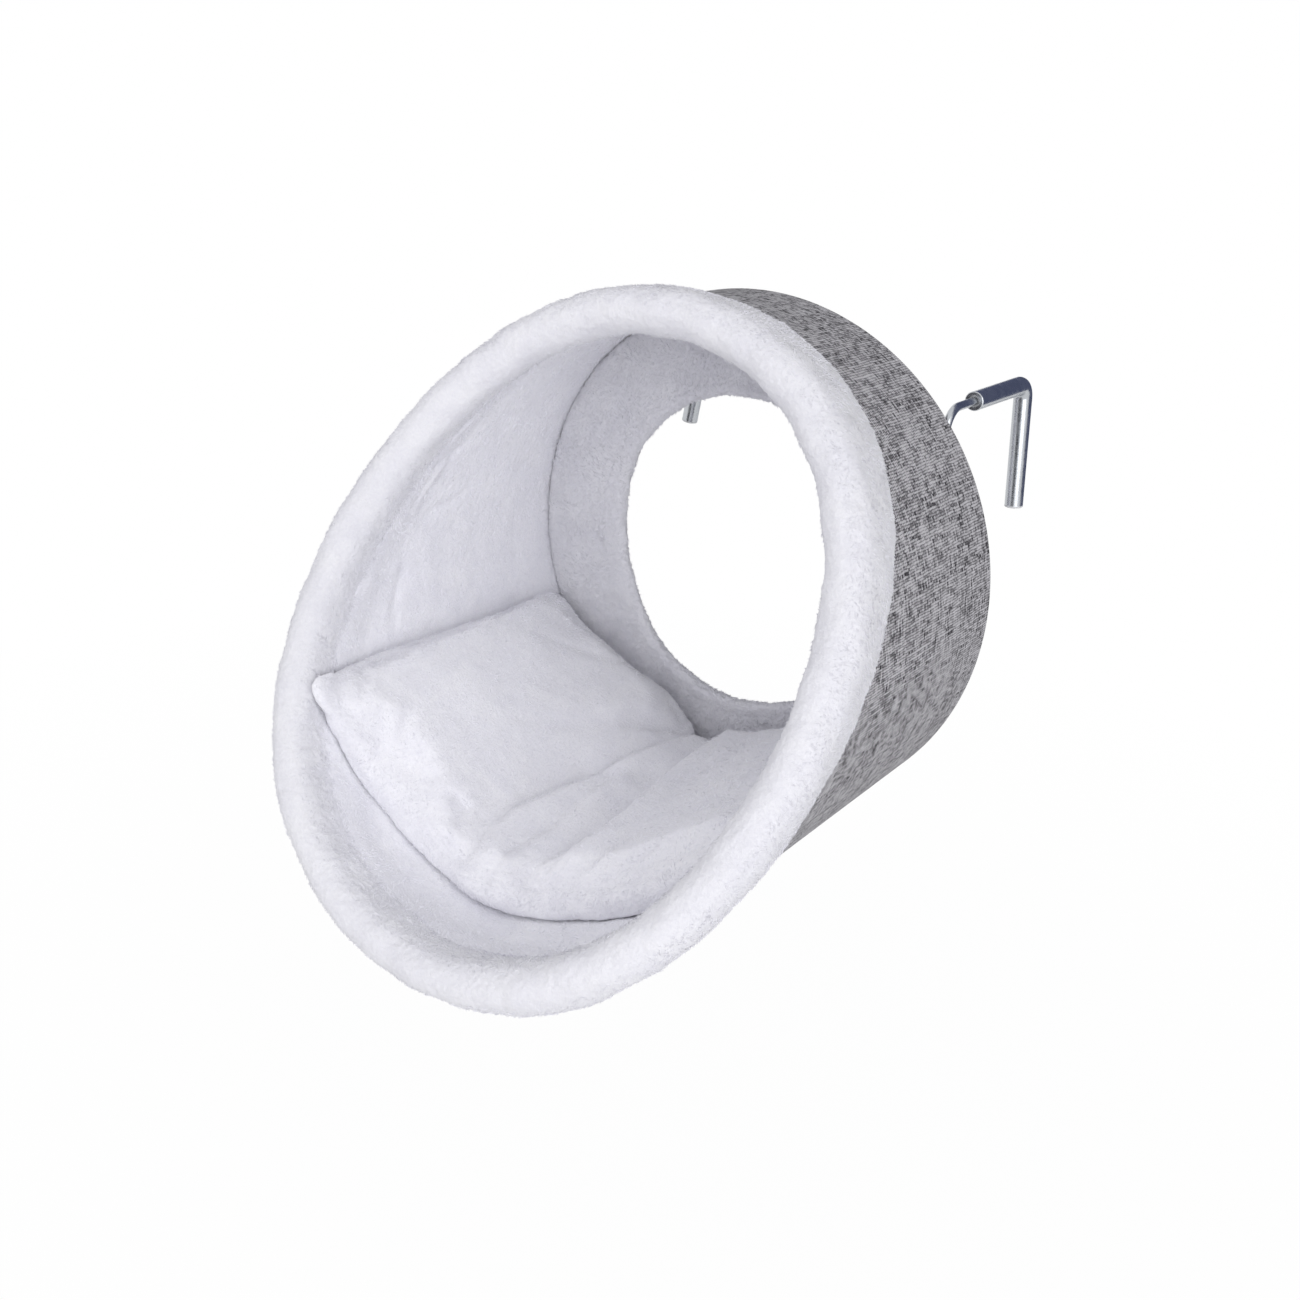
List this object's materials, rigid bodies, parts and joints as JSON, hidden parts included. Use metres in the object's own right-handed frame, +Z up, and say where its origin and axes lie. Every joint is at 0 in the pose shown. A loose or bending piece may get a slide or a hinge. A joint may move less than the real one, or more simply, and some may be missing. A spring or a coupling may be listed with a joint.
{
  "type": "radiator cat cave",
  "caption": "Plush-lined round tube bed for a cat, with a slanted padded mouth, a round back hole, a loose cushion and telescopic steel hooks that hang it on a radiator.",
  "frame": {"origin": "centre of the back face, on the axis of the tube", "axes": "+Y along the tube's axis to the radiator, +Z up, +X to the right seen from the front"},
  "size_m": [0.3718, 0.4462, 0.3718],
  "materials": {
    "grey_linen": "mottled linen-look weave",
    "plush": "short pile plush",
    "foam": "soft foam",
    "filling": "loose fibre",
    "fibreboard": "raw hardboard",
    "zinc_steel": "bright zinc plate, bluish",
    "bush_plastic": "natural nylon",
    "plug_plastic": "light grey plastic"
  },
  "bodies": {
    "cave": {"shell_board": "fibreboard", "back_board": "fibreboard", "back_staples": "zinc_steel", "outer_cover": "grey_linen", "back_cover": "grey_linen", "wall_lining": "plush", "back_lining": "plush", "hole_edging": "plush", "rim_core": "foam", "rim_cover": "plush", "rim_collar": "plush", "clip_screws": "zinc_steel", "tee_nuts": "zinc_steel", "left_hook_rod": "zinc_steel", "left_upper_clip": "zinc_steel", "left_lower_clip": "zinc_steel", "right_hook_rod": "zinc_steel", "right_upper_clip": "zinc_steel", "right_lower_clip": "zinc_steel"},
    "cushion": {"cushion_cover": "plush", "cushion_filling": "filling"},
    "left_slider": {"left_guide_bush": "bush_plastic"},
    "left_hook": {"left_hook_tube": "zinc_steel", "left_end_plug": "plug_plastic"},
    "right_slider": {"right_guide_bush": "bush_plastic"},
    "right_hook": {"right_hook_tube": "zinc_steel", "right_end_plug": "plug_plastic"}
  },
  "joints": [
    {"name": "cushion_lift", "type": "slide", "parent": "cave", "child": "cushion", "axis": [0, -0.8536, 0.521], "range_m": [0, 0.36]},
    {"name": "left_hook_slide", "type": "slide", "parent": "cave", "child": "left_slider", "axis": [0, 1, 0], "range_m": [-0.021, 0.028]},
    {"name": "left_hook_swivel", "type": "hinge", "parent": "left_slider", "child": "left_hook", "pos_m": [-0.1261, 0.0386, 0.1254], "axis": [0, 1, 0], "continuous": true},
    {"name": "right_hook_slide", "type": "slide", "parent": "cave", "child": "right_slider", "axis": [0, 1, 0], "range_m": [-0.021, 0.028]},
    {"name": "right_hook_swivel", "type": "hinge", "parent": "right_slider", "child": "right_hook", "pos_m": [0.1261, 0.0386, 0.1254], "axis": [0, 1, 0], "continuous": true}
  ]
}
